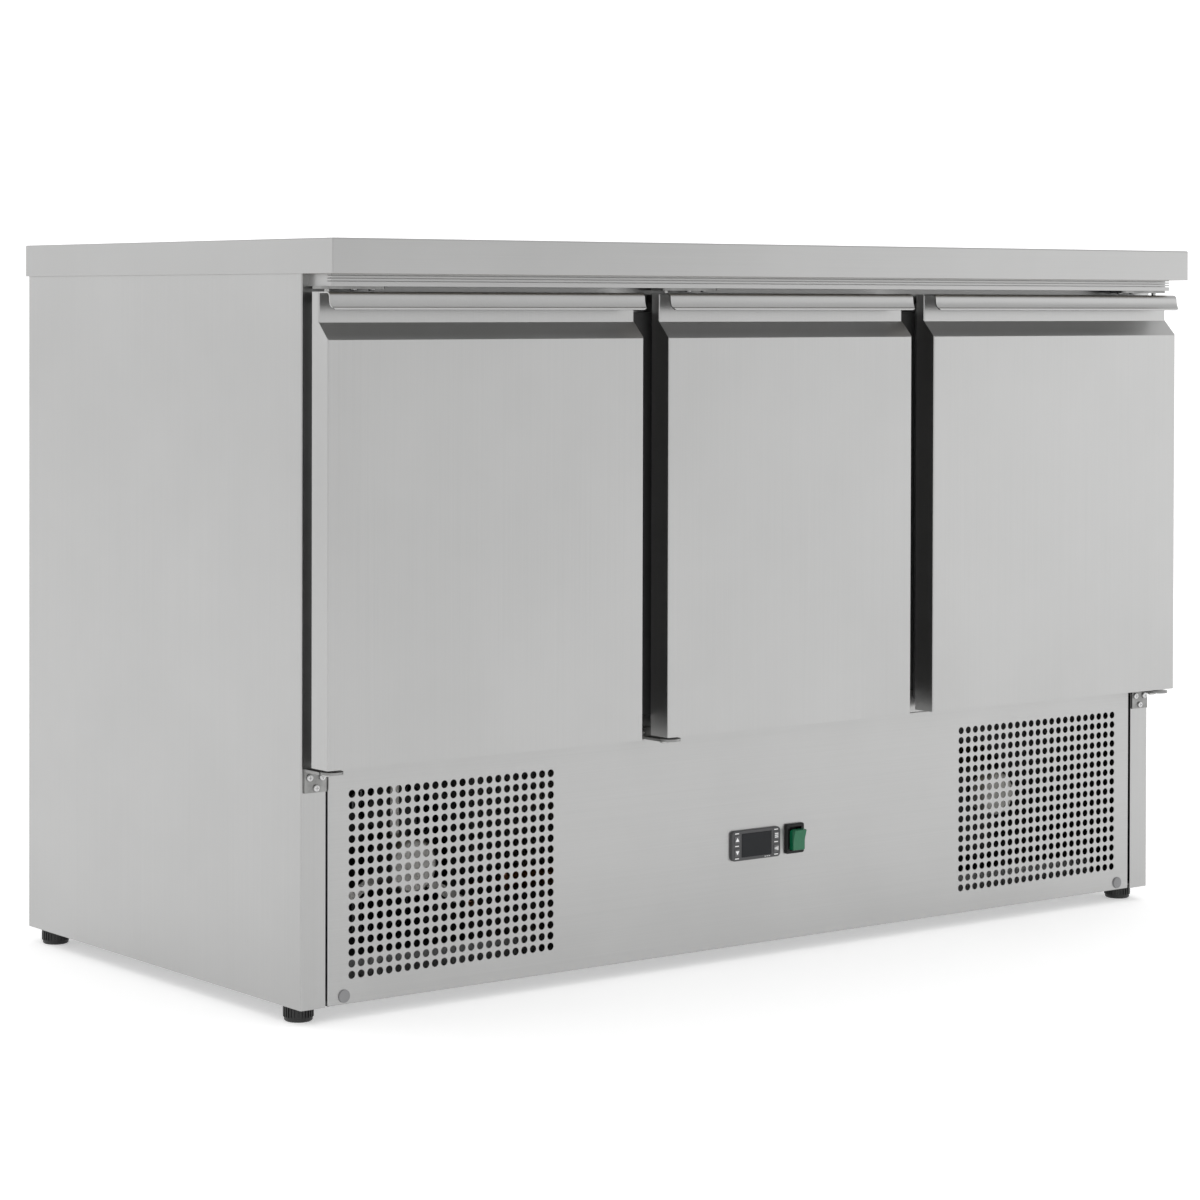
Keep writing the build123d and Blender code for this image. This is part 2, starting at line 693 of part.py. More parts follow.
def switch_rocker():
    """Rocker with two shallow faces, tipped to one of its two positions."""
    half_height = 12.8
    face_depth = 9.5
    valley_depth = 7.8
    waist_depth = 3.0
    root_depth = 2.5
    root_half_height = half_height - 5.0
    section = outline_yz([
        (root_depth, -root_half_height),
        (-waist_depth, -half_height),
        (-face_depth, -half_height),
        (-valley_depth, 0),
        (-face_depth, half_height),
        (-waist_depth, half_height),
        (root_depth, root_half_height),
    ])
    rocker = span_x(section, (-ROCKER_WIDTH / 2, ROCKER_WIDTH / 2))
    rocker = fillet(rocker.edges().filter_by(Axis.X).group_by(Axis.Y)[0], 1.2)
    return Pos(SWITCH_X, ROCKER_PIVOT_Y, SWITCH_Z) * Rot(ROCKER_TILT, 0, 0) * rocker


# ---------------------------------------------------------------- feet
def foot(place):
    """Ribbed levelling foot on a threaded stud, drawn as a plain rod."""
    x, y = place
    grip_top = BODY_BOTTOM - 0.3
    rib_bottom = 5.0
    rib_depth = 2.4
    rib_width = 1.8
    grip = rod_z(x, y, (0, grip_top), FOOT_RADIUS)
    grip = chamfer(grip.edges().group_by(Axis.Z)[0], 1.5)
    rib = Pos(FOOT_RADIUS, 0, (grip_top + rib_bottom) / 2) * Box(rib_depth, rib_width, grip_top - rib_bottom)
    for index in range(FOOT_RIBS):
        grip += Pos(x, y, 0) * Rot(0, 0, 360.0 * index / FOOT_RIBS) * rib
    return grip + rod_z(x, y, (grip_top, STUD_TOP), STUD_RADIUS)


# ---------------------------------------------------------------- shelves
def shelf_centres():
    return [-SHELF_X, 0.0, SHELF_X]


def shelf_pilasters():
    """Slotted uprights from the liner's floor to its ceiling."""
    uprights = []
    for centre in shelf_centres():
        for side in (-1, 1):
            xs = sorted((centre + side * RAIL_X, centre + side * (RAIL_X + PILASTER_DEPTH)))
            uprights += [pilaster(xs, y) for y in UPRIGHT_Y]
    return uprights


def pilaster(xs, y):
    half_width = PILASTER_WIDTH / 2
    upright = block(xs, (y - half_width, y + half_width), (SILL_TOP, CAVITY_TOP))
    first_slot = SILL_TOP + 42.0
    slot_pitch = 40.0
    slot_count = 11
    slot_height = 12.0
    for index in range(slot_count):
        low = first_slot + index * slot_pitch
        upright -= block(grow(xs, 1), (y - 2, y + 2), (low, low + slot_height))
    return upright


def shelf_rails():
    """Angle rails that hook on the uprights and carry the shelves."""
    rails = []
    low_z = SHELF_Z - SHELF_RIM / 2 - RAIL_SHEET
    for centre in shelf_centres():
        for side in (-1, 1):
            wall = sorted((centre + side * RAIL_X, centre + side * (RAIL_X - RAIL_SHEET)))
            leg = sorted((centre + side * RAIL_X, centre + side * (RAIL_X - RAIL_LEG)))
            rail = block(wall, RAIL_Y, (low_z, low_z + RAIL_LEG))
            rail += block(leg, RAIL_Y, (low_z, low_z + RAIL_SHEET))
            rails.append(rail)
    return rails


def wire_shelf(centre_x):
    """Grid of thin wires welded across a heavier rim."""
    half_x = SHELF_SIZE[0] / 2
    xs = (centre_x - half_x, centre_x + half_x)
    ys = (SHELF_FRONT, SHELF_FRONT + SHELF_SIZE[1])
    zs = (SHELF_Z - SHELF_RIM / 2, SHELF_Z + SHELF_RIM / 2)
    corner_radius = 12.0
    outer = block(xs, ys, zs)
    outer = fillet(outer.edges().filter_by(Axis.Z), corner_radius)
    inner = block(grow(xs, -SHELF_RIM), grow(ys, -SHELF_RIM), grow(zs, 1))
    inner = fillet(inner.edges().filter_by(Axis.Z), corner_radius - SHELF_RIM)
    shelf = outer - inner
    for third in (1, 2):
        cross_y = SHELF_FRONT + SHELF_SIZE[1] * third / 3
        shelf += block(grow(xs, -1), (cross_y - SHELF_RIM / 2, cross_y + SHELF_RIM / 2), zs)
    wire_radius = 1.6
    wire_z = zs[1] + wire_radius - 0.4
    wire_count = 13
    for index in range(wire_count):
        x = xs[0] + SHELF_SIZE[0] * (index + 1) / (wire_count + 1)
        shelf += bar((x, ys[0] + 1, wire_z), (x, ys[1] - 1, wire_z), wire_radius)
    return shelf


def bar(start, end, radius):
    start = Vector(start)
    direction = Vector(end) - start
    plane = Plane(origin=start, z_dir=direction)
    return extrude(plane * Circle(radius), amount=direction.length)


def wire_shelves():
    return [wire_shelf(x) for x in shelf_centres()]


# ---------------------------------------------------------------- cooling unit
def finned_block(xs, ys, zs, pitch, depth):
    """Coil block whose two faces are slotted into fins."""
    end_plate = 10.0
    rim = 6.0
    slot_width = pitch * 0.55
    slots = []
    for index in range(int((xs[1] - xs[0] - 2 * end_plate) / pitch)):
        x = xs[0] + end_plate + index * pitch
        for face_ys in ((ys[0] - 1, ys[0] + depth), (ys[1] - depth, ys[1] + 1)):
            slots.append(block((x, x + slot_width), face_ys, grow(zs, -rim)))
    return block(xs, ys, zs) - slots


def condenser_zs():
    return (FAN_Z - COIL_HEIGHT / 2, FAN_Z + COIL_HEIGHT / 2)


def condenser_coil():
    xs = (FAN_X - COIL_HALF, FAN_X + COIL_HALF)
    coil = finned_block(xs, COIL_Y, condenser_zs(), pitch=6.0, depth=8.0)
    leg_zs = (TRAY_TOP, condenser_zs()[0])
    for x in grow(xs, -15):
        coil += block((x - 10, x + 10), grow(COIL_Y, -5), leg_zs)
    return coil


def condenser_fan_shroud():
    xs = (FAN_X - COIL_HALF, FAN_X + COIL_HALF)
    wall = 1.5
    ring_length = 10.0
    mouth_radius = FAN_RADIUS + 6.0
    shroud = block(xs, (SHROUD_FRONT, COIL_Y[0]), condenser_zs())
    shroud -= block(grow(xs, -wall), (SHROUD_FRONT + wall, COIL_Y[0] + 1), grow(condenser_zs(), -wall))
    ring_ys = (SHROUD_FRONT - ring_length, SHROUD_FRONT + wall)
    shroud += rod_y(FAN_X, FAN_Z, ring_ys, mouth_radius + 2)
    return shroud - rod_y(FAN_X, FAN_Z, (ring_ys[0] - 1, COIL_Y[0] + 1), mouth_radius)


def fan(centre, hub_radius, tip_radius, ys, blades, shaft_ys, shaft_radius):
    """Axial fan: round hub, pitched flat blades and its shaft."""
    x, z = centre
    rotor = rod_y(x, z, ys, hub_radius)
    root_radius = hub_radius - 4
    reach = tip_radius - root_radius
    chord = tip_radius * 0.62
    blade_pitch = -28
    blade_thick = 1.6
    blade = Pos(root_radius + reach / 2, 0, 0) * Rot(blade_pitch, 0, 0) * Box(reach, blade_thick, chord)
    for index in range(blades):
        rotor += Pos(x, sum(ys) / 2, z) * Rot(0, 360.0 * index / blades, 0) * blade
    rotor &= rod_y(x, z, grow(ys, 12), tip_radius)
    return rotor + rod_y(x, z, shaft_ys, shaft_radius)


def condenser_fan():
    return fan(
        centre=(FAN_X, FAN_Z), hub_radius=24, tip_radius=FAN_RADIUS, ys=(-150, -134), blades=5,
        shaft_ys=(-185, -150), shaft_radius=4,
    )


def fan_motor(centre, radius, ys, bore_ys, shaft_radius, arm_radius, arm_y, arm_seat_y):
    """Round motor body with its shaft bore, on three arms with stand-offs."""
    x, z = centre
    arm_half_width = 6
    stand_radius = 4
    motor = rod_y(x, z, ys, radius)
    motor = fillet(motor.edges().filter_by(GeomType.CIRCLE), radius * 0.2)
    for angle in (-90, 30, 150):
        place = Pos(x, 0, z) * Rot(0, angle, 0)
        arm_xs = (radius * 0.5, arm_radius + 5)
        motor += place * block(arm_xs, (arm_y, arm_y + 2), (-arm_half_width, arm_half_width))
        stand_ys = sorted((arm_y, arm_seat_y))
        motor += place * rod_y(arm_radius, 0, stand_ys, stand_radius)
    return motor - rod_y(x, z, bore_ys, shaft_radius + RUNNING_GAP)


def condenser_fan_motor():
    return fan_motor(
        centre=(FAN_X, FAN_Z), radius=33, ys=(-218, -164), bore_ys=(-190, -163), shaft_radius=4,
        arm_radius=FAN_RADIUS + 20, arm_y=-176, arm_seat_y=SHROUD_FRONT,
    )


def evaporator_fan_motor():
    return fan_motor(
        centre=(0, EVAPORATOR_FAN_Z), radius=20, ys=(238, 258), bore_ys=(237, 252), shaft_radius=3,
        arm_radius=EVAPORATOR_FAN_RADIUS + 14, arm_y=246, arm_seat_y=EVAPORATOR_FRONT + COVER_WALL,
    )


def fan_motors():
    return [condenser_fan_motor(), evaporator_fan_motor()]


def evaporator_fan():
    return fan(
        centre=(0, EVAPORATOR_FAN_Z), hub_radius=16, tip_radius=EVAPORATOR_FAN_RADIUS, ys=(222, 232),
        blades=5, shaft_ys=(232, 250), shaft_radius=3,
    )


def evaporator_cover():
    """Box round the evaporator, with a fan mouth and two sets of slots."""
    xs = (-EVAPORATOR_HALF, EVAPORATOR_HALF)
    inside_front = EVAPORATOR_FRONT + COVER_WALL
    cover = block(xs, (EVAPORATOR_FRONT, CAVITY_BACK), EVAPORATOR_Z)
    cover = fillet(cover.edges().group_by(Axis.Y)[0], 3)
    inside_zs = grow(EVAPORATOR_Z, -COVER_WALL)
    cover -= block(grow(xs, -COVER_WALL), (inside_front, CAVITY_BACK + 1), inside_zs)
    front_ys = (EVAPORATOR_FRONT - 1, inside_front + 1.5)
    cover -= rod_y(0, EVAPORATOR_FAN_Z, front_ys, EVAPORATOR_FAN_RADIUS + 3)
    slot_zs = [(640 + index * 18, 647 + index * 18) for index in range(7)]
    for slot_xs in ((-205, -105), (105, 205)):
        for zs in slot_zs:
            cover -= block(slot_xs, front_ys, zs)
    return cover - service_holes((EVAPORATOR_Z[0] - 1, EVAPORATOR_Z[0] + 3))


def evaporator_coil():
    return finned_block(xs=(-190, 185), ys=(264, 297), zs=(634, 780), pitch=7.0, depth=6.0)


def drain_tray():
    """Shallow tray under the coil, with its drain tube down to the machine bay."""
    xs = (-215, 188)
    ys = (240, 298)
    zs = (EVAPORATOR_Z[0] + COVER_WALL, EVAPORATOR_Z[0] + 18)
    wall = 1.5
    tube_bottom = 52
    tray = block(xs, ys, zs) - block(grow(xs, -wall), grow(ys, -wall), (zs[0] + wall, zs[1] + 1))
    tray += rod_z(DRAIN_X, SERVICE_Y, (tube_bottom, zs[0]), DRAIN_RADIUS)
    return tray - rod_z(DRAIN_X, SERVICE_Y, (tube_bottom - 1, zs[0] + 3), DRAIN_RADIUS - wall)


def evaporation_tray():
    """Open tray in the machine bay that the drain tube empties into."""
    xs = (-290, -110)
    ys = (215, 335)
    zs = (TRAY_TOP, 62)
    wall = 6
    floor_thick = 2
    tray = block(xs, ys, zs)
    tray = fillet(tray.edges().filter_by(Axis.Z), 10)
    return tray - block(grow(xs, -wall), grow(ys, -wall), (zs[0] + floor_thick, zs[1] + 1))


def compressor():
    """Welded steel shell on a pressed base with four rubber mounts."""
    shell_top = 205
    dome_radius = 38
    seam_zs = (118, 124)
    seam_width = 3
    shell = rod_z(COMPRESSOR_X, COMPRESSOR_Y, (TRAY_TOP + 12, shell_top), COMPRESSOR_RADIUS)
    shell = fillet(shell.edges().filter_by(GeomType.CIRCLE), dome_radius)
    seam = rod_z(COMPRESSOR_X, COMPRESSOR_Y, seam_zs, COMPRESSOR_RADIUS + seam_width)
    xs = grow((COMPRESSOR_X, COMPRESSOR_X), 95)
    ys = grow((COMPRESSOR_Y, COMPRESSOR_Y), 60)
    base = block(xs, ys, (TRAY_TOP + 10, TRAY_TOP + 13))
    unit = shell + seam + base
    mount_radius = 9
    for x in grow(xs, -12):
        for y in grow(ys, -12):
            unit += rod_z(x, y, (TRAY_TOP, TRAY_TOP + 20), mount_radius)
    return unit


def terminal_cover():
    """Round cover over the compressor's electrical terminals."""
    cover_z = 152
    cover_radius = 28
    front = COMPRESSOR_Y - COMPRESSOR_RADIUS - 26
    cover = rod_y(COMPRESSOR_X, cover_z, (front, COMPRESSOR_Y - 60), cover_radius)
    cover = fillet(cover.edges().group_by(Axis.Y)[0], 6)
    return cover - rod_z(COMPRESSOR_X, COMPRESSOR_Y, (80, 230), COMPRESSOR_RADIUS + 3.1)


def refrigerant_pipes():
    """Discharge, liquid and suction lines; the liquid line carries the filter drier."""
    shell_left = COMPRESSOR_X - COMPRESSOR_RADIUS
    shell_back = COMPRESSOR_Y + COMPRESSOR_RADIUS
    coil_side = FAN_X + COIL_HALF
    coil_y = sum(COIL_Y) / 2
    coil_bend_x = -300
    outlet_z = 160
    high_z = 235
    discharge = pipe(
        [
            (shell_left + 0.5, COMPRESSOR_Y, outlet_z),
            (340, COMPRESSOR_Y, outlet_z),
            (340, COMPRESSOR_Y, high_z),
            (coil_bend_x, coil_y, high_z),
            (coil_side, coil_y, high_z),
        ],
        radii=18, radius=4,
    )
    low_z = 70
    drier_y = 20
    liquid_x = PIPE_X - 6
    liquid = pipe(
        [
            (coil_side, coil_y, low_z),
            (coil_bend_x, coil_y, low_z),
            (coil_bend_x, drier_y, low_z),
            (liquid_x, drier_y, low_z),
            (liquid_x, SERVICE_Y, low_z),
            (liquid_x, SERVICE_Y, EVAPORATOR_Z[0] + 20),
        ],
        radii=15, radius=2.5,
    )
    drier = Pos(-120, drier_y, low_z) * Rot(0, 90, 0) * Cylinder(11, 110)
    drier = fillet(drier.edges().filter_by(GeomType.CIRCLE), 5)
    inlet_z = 100
    suction_y = 120
    suction_x = PIPE_X + 4
    suction = pipe(
        [
            (COMPRESSOR_X, shell_back - 0.5, inlet_z),
            (COMPRESSOR_X, suction_y, inlet_z),
            (suction_x, suction_y, inlet_z),
            (suction_x, SERVICE_Y, inlet_z),
            (suction_x, SERVICE_Y, EVAPORATOR_Z[0] + 30),
        ],
        radii=20, radius=5,
    )
    shell = rod_z(COMPRESSOR_X, COMPRESSOR_Y, (60, 200), COMPRESSOR_RADIUS)
    return [discharge - shell, liquid + drier, suction - shell]


def cable_gland():
    """Gland in the back panel that the mains lead would pass through."""
    nut_thick = 6.0
    inner_end = BACK_PANEL_Y - 8
    head = rod_y(GLAND_X, GLAND_Z, (BACK_PANEL_Y + SHEET, DEPTH / 2 - 0.2), GLAND_HEAD)
    head = fillet(head.edges().group_by(Axis.Y)[-1], 1.5)
    barrel = rod_y(GLAND_X, GLAND_Z, (inner_end, BACK_PANEL_Y + SHEET), GLAND_RADIUS)
    nut_plane = Plane.XZ.offset(-(BACK_PANEL_Y - nut_thick))
    nut_face = nut_plane * Pos(GLAND_X, GLAND_Z) * RegularPolygon(GLAND_HEAD, 6)
    nut = extrude(nut_face, amount=-nut_thick)
    bore = rod_y(GLAND_X, GLAND_Z, (inner_end - 1, DEPTH / 2 + 1), GLAND_BORE)
    return head + barrel + nut - bore


# ---------------------------------------------------------------- write the files
def save(name, shape):
    """Write one shape, or a list of separate shapes, as a STEP file of solids."""
    shapes = shape if isinstance(shape, list) else [shape]
    solids = [solid for item in shapes for solid in item.solids()]
    export_step(Compound(children=solids), f"parts/{name}.step")


os.makedirs("parts", exist_ok=True)

PIECES = [
    worktop_skin, worktop_core, top_trim, side_panel_left, back_panel, base_tray, front_frame, mullions,
    inner_liner, insulation, fascia, fascia_plugs, hinge_brackets_bottom, hinge_brackets_top, hinge_pins,
    bracket_screws, shelf_pilasters, shelf_rails, wire_shelves, evaporator_cover, evaporator_coil, drain_tray,
    evaporation_tray, condenser_coil, condenser_fan_shroud, fan_motors, compressor, terminal_cover,
    refrigerant_pipes, cable_gland, controller_case, controller_display, switch_housing,
    switch_rocker, condenser_fan, evaporator_fan,
]
for make in PIECES:
    save(make.__name__, make())

save("side_panel_right", flip(side_panel_left()))

KEY_NAMES = ["key_left_upper", "key_left_lower", "key_right_upper", "key_right_lower"]
for name, place in zip(KEY_NAMES, key_places()):
    save(name, controller_key(place))

FOOT_NAMES = ["foot_front_left", "foot_front_right", "foot_back_left", "foot_back_right"]
for name, place in zip(FOOT_NAMES, foot_places()):
    save(name, foot(place))

DOOR_SPANS = {
    "left": (-OUTER_OUT, -OUTER_IN),
    "middle": (-MIDDLE_HALF, MIDDLE_HALF),
    "right": (OUTER_IN, OUTER_OUT),
}
for (name, xs), (pivot_x, _) in zip(DOOR_SPANS.items(), hinge_places()):
    save(f"door_{name}_skin", door_skin(xs, pivot_x))
    save(f"door_{name}_inner_panel", door_inner_panel(xs))
    save(f"door_{name}_foam", door_foam(xs, pivot_x))
    save(f"door_{name}_gasket", door_gasket(xs))
    save(f"door_{name}_bushes", door_bushes(pivot_x))
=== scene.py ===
import json
import math

import bmesh
import bpy
from mathutils import Matrix, Vector


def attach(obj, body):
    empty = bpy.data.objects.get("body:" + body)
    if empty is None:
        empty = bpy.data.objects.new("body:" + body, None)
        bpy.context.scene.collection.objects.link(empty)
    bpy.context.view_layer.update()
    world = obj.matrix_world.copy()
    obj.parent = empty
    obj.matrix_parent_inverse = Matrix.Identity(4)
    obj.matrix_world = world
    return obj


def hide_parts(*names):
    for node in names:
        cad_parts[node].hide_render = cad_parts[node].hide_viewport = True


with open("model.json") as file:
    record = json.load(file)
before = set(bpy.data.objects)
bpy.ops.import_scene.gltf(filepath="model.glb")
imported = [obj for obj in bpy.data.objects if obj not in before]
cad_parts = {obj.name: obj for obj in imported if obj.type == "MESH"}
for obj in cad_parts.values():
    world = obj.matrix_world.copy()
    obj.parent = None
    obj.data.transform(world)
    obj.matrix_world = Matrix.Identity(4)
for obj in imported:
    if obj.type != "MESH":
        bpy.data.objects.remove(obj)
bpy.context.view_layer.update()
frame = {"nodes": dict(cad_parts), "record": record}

bpy.context.scene.view_settings.view_transform = "Standard"

MM = 0.001


# ---------------------------------------------------------------- camera
CAMERA_PLACE = (-2.6833, -3.3787, 0.8033)
CAMERA_YAW = -36.67
CAMERA_PITCH = -0.80
CAMERA_ROLL = 0.12
CAMERA_LENS = 99.86
CAMERA_SHIFT = (0.0667, -0.2083)


def add_camera():
    """Camera at the photograph's place and angle."""
    data = bpy.data.cameras.new("camera")
    data.sensor_width = 36.0
    data.sensor_fit = "HORIZONTAL"
    data.lens = CAMERA_LENS
    data.shift_x, data.shift_y = CAMERA_SHIFT
    data.clip_end = 60.0
    camera = bpy.data.objects.new("camera", data)
    bpy.context.scene.collection.objects.link(camera)
    yaw, pitch, roll = (math.radians(angle) for angle in (CAMERA_YAW, CAMERA_PITCH, CAMERA_ROLL))
    turn = Matrix.Rotation(yaw, 4, "Z") @ Matrix.Rotation(math.pi / 2 + pitch, 4, "X")
    camera.matrix_world = Matrix.Translation(CAMERA_PLACE) @ turn @ Matrix.Rotation(roll, 4, "Z")
    bpy.context.scene.camera = camera


add_camera()


# ---------------------------------------------------------------- materials
class Paint:
    """A Principled material and short calls for the nodes that feed it."""

    def __init__(self, name, **inputs):
        self.material = bpy.data.materials.new(name)
        self.material.use_nodes = True
        self.nodes = self.material.node_tree.nodes
        self.links = self.material.node_tree.links
        self.shader = next(n for n in self.nodes if n.type == "BSDF_PRINCIPLED")
        for key, value in inputs.items():
            self.shader.inputs[key.replace("_", " ")].default_value = value

    def link(self, source, target):
        self.links.new(source, target)

    def place(self, scale):
        """Object coordinates stretched by a scale on each axis."""
        coords = self.nodes.new("ShaderNodeTexCoord")
        mapping = self.nodes.new("ShaderNodeMapping")
        mapping.inputs["Scale"].default_value = scale
        self.link(coords.outputs["Object"], mapping.inputs["Vector"])
        return mapping.outputs["Vector"]

    def noise(self, scale, detail=3.0, roughness=0.55):
        node = self.nodes.new("ShaderNodeTexNoise")
        node.inputs["Scale"].default_value = 1.0
        node.inputs["Detail"].default_value = detail
        node.inputs["Roughness"].default_value = roughness
        self.link(self.place(scale), node.inputs["Vector"])
        return node.outputs["Fac"]

    def cells(self, scale):
        """Colour that is even within each cell of a Voronoi pattern."""
        node = self.nodes.new("ShaderNodeTexVoronoi")
        node.inputs["Scale"].default_value = scale
        self.link(self.place((1, 1, 1)), node.inputs["Vector"])
        return node.outputs["Color"]

    def span(self, value, low, high, start=0.0, end=1.0):
        """Value mapped from start..end onto low..high."""
        node = self.nodes.new("ShaderNodeMapRange")
        node.inputs["From Min"].default_value = start
        node.inputs["From Max"].default_value = end
        node.inputs["To Min"].default_value = low
        node.inputs["To Max"].default_value = high
        self.link(value, node.inputs["Value"])
        return node.outputs["Result"]

    def blend(self, factor, first, second):
        """Mix of two colours."""
        node = self.nodes.new("ShaderNodeMix")
        node.data_type = "RGBA"
        node.inputs["A"].default_value = (*first, 1)
        node.inputs["B"].default_value = (*second, 1)
        self.link(factor, node.inputs["Factor"])
        return node.outputs["Result"]

    def math(self, operation, first, second=None):
        """Maths node whose inputs are numbers or the outputs of other nodes."""
        node = self.nodes.new("ShaderNodeMath")
        node.operation = operation
        for socket, value in zip(node.inputs, (first, second)):
            if isinstance(value, float):
                socket.default_value = value
            elif value is not None:
                self.link(value, socket)
        return node.outputs["Value"]

    def add(self, first, second):
        return self.math("ADD", first, second)

    def bump(self, height, distance, strength=1.0):
        node = self.nodes.new("ShaderNodeBump")
        node.inputs["Distance"].default_value = distance
        node.inputs["Strength"].default_value = strength
        self.link(height, node.inputs["Height"])
        self.link(node.outputs["Normal"], self.shader.inputs["Normal"])

    def colour(self, output):
        self.link(output, self.shader.inputs["Base Color"])

    def rough(self, output):
        self.link(output, self.shader.inputs["Roughness"])

    def within(self, value, limits):
        """1 where a value lies between two limits, else 0."""
        above = self.math("GREATER_THAN", value, limits[0])
        below = self.math("LESS_THAN", value, limits[1])
        return self.math("MULTIPLY", above, below)

    def paint_shade_inside(self, colour, limits, shade):
        """Painted shade: dark grey where the distance from the middle on X, and Y, lie within their
        limits.
        """
        coords = self.nodes.new("ShaderNodeTexCoord")
        split = self.nodes.new("ShaderNodeSeparateXYZ")
        self.link(coords.outputs["Object"], split.inputs["Vector"])
        off_centre = self.math("ABSOLUTE", split.outputs["X"])
        across, along = limits
        in_x = self.within(off_centre, across)
        in_y = self.within(split.outputs["Y"], along)
        shaded = self.math("MULTIPLY", in_x, in_y)
        node = self.nodes.new("ShaderNodeMix")
        node.data_type = "RGBA"
        node.inputs["B"].default_value = (shade, shade, shade, 1)
        self.link(shaded, node.inputs["Factor"])
        self.link(colour, node.inputs["A"])
        return node.outputs["Result"]


def tint(colour, amount):
    """Colour made lighter or darker."""
    return tuple(min(1.0, channel * amount) for channel in colour)


def brushed(name, colour, grain, roughness=0.30, spread=0.05, wave=0.0004, painted_shade_limits=None):
    """Sheet steel: fine lines across the grain, soft blotches and a slight wave in the sheet, with
    painted shade on inner faces when limits are given.
    """
    bump_depth = 0.00001
    paint = Paint(name, Metallic=1.0)
    lines = paint.noise(grain, detail=4.0, roughness=0.7)
    clouds = paint.noise((5, 5, 5), detail=3.0)
    line_shade = paint.span(lines, -0.35, 0.35, 0.3, 0.7)
    cloud_shade = paint.span(clouds, 0.15, 0.85, 0.3, 0.7)
    shade = paint.add(line_shade, cloud_shade)
    steel = paint.blend(shade, tint(colour, 0.955), tint(colour, 1.04))
    # Inner faces within the limits get painted shade in place of the steel colour.
    paint.colour(paint.paint_shade_inside(steel, painted_shade_limits, PAINTED_INNER_SHADE) if painted_shade_limits else steel)
    cloud_gloss = paint.span(clouds, roughness - 0.03, roughness + 0.04)
    paint.rough(paint.add(paint.span(lines, 0.0, spread), cloud_gloss))
    swell = paint.noise((3.1, 3.1, 2.3), detail=1.0)
    height = paint.add(paint.span(swell, 0.0, wave / bump_depth), paint.span(lines, 0.0, 0.22))
    paint.bump(height, bump_depth)
    return paint.material


def moulded(name, colour, roughness, grain=900.0, depth=0.00004, spread=0.06, **inputs):
    """Moulded plastic or rubber: a fine skin texture and faint dust in the shade."""
    paint = Paint(name, **inputs)
    skin = paint.noise((grain, grain, grain), detail=2.0)
    dust = paint.noise((22, 22, 22), detail=4.0)
    paint.colour(paint.blend(dust, tint(colour, 0.88), tint(colour, 1.12)))
    paint.rough(paint.span(dust, roughness - spread, roughness + spread, 0.3, 0.7))
    paint.bump(skin, depth, strength=0.5)
    return paint.material


def spangled(name, colour, roughness):
    """Galvanised sheet: flat crystal patches that differ a little in shade and gloss."""
    paint = Paint(name, Metallic=0.9)
    patches = paint.cells(95.0)
    grey = paint.nodes.new("ShaderNodeRGBToBW")
    paint.link(patches, grey.inputs["Color"])
    stain = paint.noise((9, 9, 9), detail=4.0)
    patch_shade = paint.span(grey.outputs["Val"], 0.0, 0.7)
    shade = paint.add(patch_shade, paint.span(stain, 0.0, 0.2, 0.3, 0.7))
    paint.colour(paint.blend(shade, tint(colour, 0.80), tint(colour, 1.10)))
    paint.rough(paint.span(grey.outputs["Val"], roughness - 0.06, roughness + 0.08))
    paint.bump(paint.noise((420, 420, 420)), 0.00002, strength=0.4)
    return paint.material


def worn_metal(name, colour, roughness, metallic=1.0, grain=260.0, dark=0.72):
    """Small turned, drawn or painted metal parts: mottled shade and fine pits."""
    paint = Paint(name, Metallic=metallic)
    mottle = paint.noise((38, 38, 38), detail=5.0, roughness=0.65)
    shade = paint.span(mottle, 0, 1, 0.25, 0.75)
    paint.colour(paint.blend(shade, tint(colour, dark), tint(colour, 1.06)))
    paint.rough(paint.span(mottle, roughness + 0.07, roughness - 0.05, 0.3, 0.7))
    paint.bump(paint.noise((grain, grain, grain)), 0.00003, strength=0.4)
    return paint.material


STEEL = (0.440, 0.440, 0.437)
# Grey of the painted shade put on the inner faces of the side panels, where shade falls inside the
# cabinet.
PAINTED_INNER_SHADE = 0.07
# Distances from the middle, then Y, in metres, between which a side panel's faces look inwards and are
# given painted shade.
PANEL_SHADE_LIMITS = ((0.600, 0.6790), (-0.2825, 0.3465))
# Noise scales of brushed steel: fine across the lines and long along them.
ALONG_X = (3, 1500, 1500)
UPRIGHT = (1500, 1500, 3)
ANY_WAY = (700, 700, 700)

